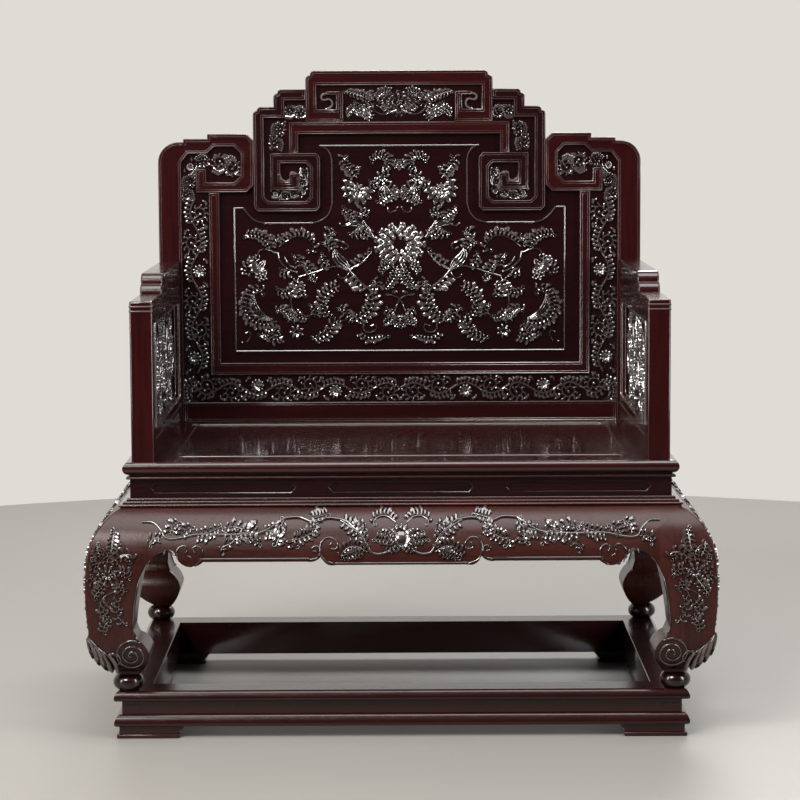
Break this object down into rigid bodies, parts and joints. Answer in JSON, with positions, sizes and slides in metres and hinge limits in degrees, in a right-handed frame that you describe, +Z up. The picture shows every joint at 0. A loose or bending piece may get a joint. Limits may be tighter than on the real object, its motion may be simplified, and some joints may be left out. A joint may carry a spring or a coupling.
{
  "type": "throne chair",
  "caption": "Wide carved rosewood throne chair on a floor base, with cabriole legs, bulging aprons, framed arms and a stepped back screen with fret ears",
  "frame": {"origin": "on the floor, under the middle of the chair", "axes": "+Z up, the front of the chair faces -Y, +X to the right of a person facing the chair"},
  "size_m": [1.0702, 0.7542, 1.146],
  "materials": {
    "frame_wood": "polished dark rosewood",
    "carved_wood": "polished dark rosewood with shaded carving",
    "seat_wood": "glossy dark rosewood board",
    "hidden_wood": "plain sawn rosewood"
  },
  "bodies": {
    "root": {"apron_front": "frame_wood", "apron_left": "frame_wood", "apron_rear": "frame_wood", "apron_right": "frame_wood", "arm_keys": "hidden_wood", "arm_left_bottom_rail": "frame_wood", "arm_left_front_post": "frame_wood", "arm_left_panel": "carved_wood", "arm_left_rear_post": "frame_wood", "arm_left_top_rail": "frame_wood", "arm_right_bottom_rail": "frame_wood", "arm_right_front_post": "frame_wood", "arm_right_panel": "carved_wood", "arm_right_rear_post": "frame_wood", "arm_right_top_rail": "frame_wood", "back_bottom_border": "carved_wood", "back_bottom_rail": "frame_wood", "back_crest_frame": "frame_wood", "back_crest_panel": "carved_wood", "back_inner_bottom_rail": "frame_wood", "back_inner_top_rail": "frame_wood", "back_keys": "hidden_wood", "back_left_border": "carved_wood", "back_left_fret": "carved_wood", "back_left_inner_stile": "frame_wood", "back_left_shoulder": "frame_wood", "back_left_stile": "frame_wood", "back_panel": "carved_wood", "back_right_border": "carved_wood", "back_right_fret": "carved_wood", "back_right_inner_stile": "frame_wood", "back_right_shoulder": "frame_wood", "back_right_stile": "frame_wood", "ball_feet": "frame_wood", "base_feet": "frame_wood", "base_front_rail": "frame_wood", "base_left_rail": "frame_wood", "base_rear_rail": "frame_wood", "base_right_rail": "frame_wood", "leg_front_left": "frame_wood", "leg_front_right": "frame_wood", "leg_rear_left": "frame_wood", "leg_rear_right": "frame_wood", "moulding_front": "frame_wood", "moulding_left": "frame_wood", "moulding_rear": "frame_wood", "moulding_right": "frame_wood", "seat_battens": "hidden_wood", "seat_front_rail": "frame_wood", "seat_left_rail": "frame_wood", "seat_panel": "seat_wood", "seat_rear_rail": "frame_wood", "seat_right_rail": "frame_wood", "waist_front": "frame_wood", "waist_left": "frame_wood", "waist_rear": "frame_wood", "waist_right": "frame_wood"}
  },
  "joints": []
}
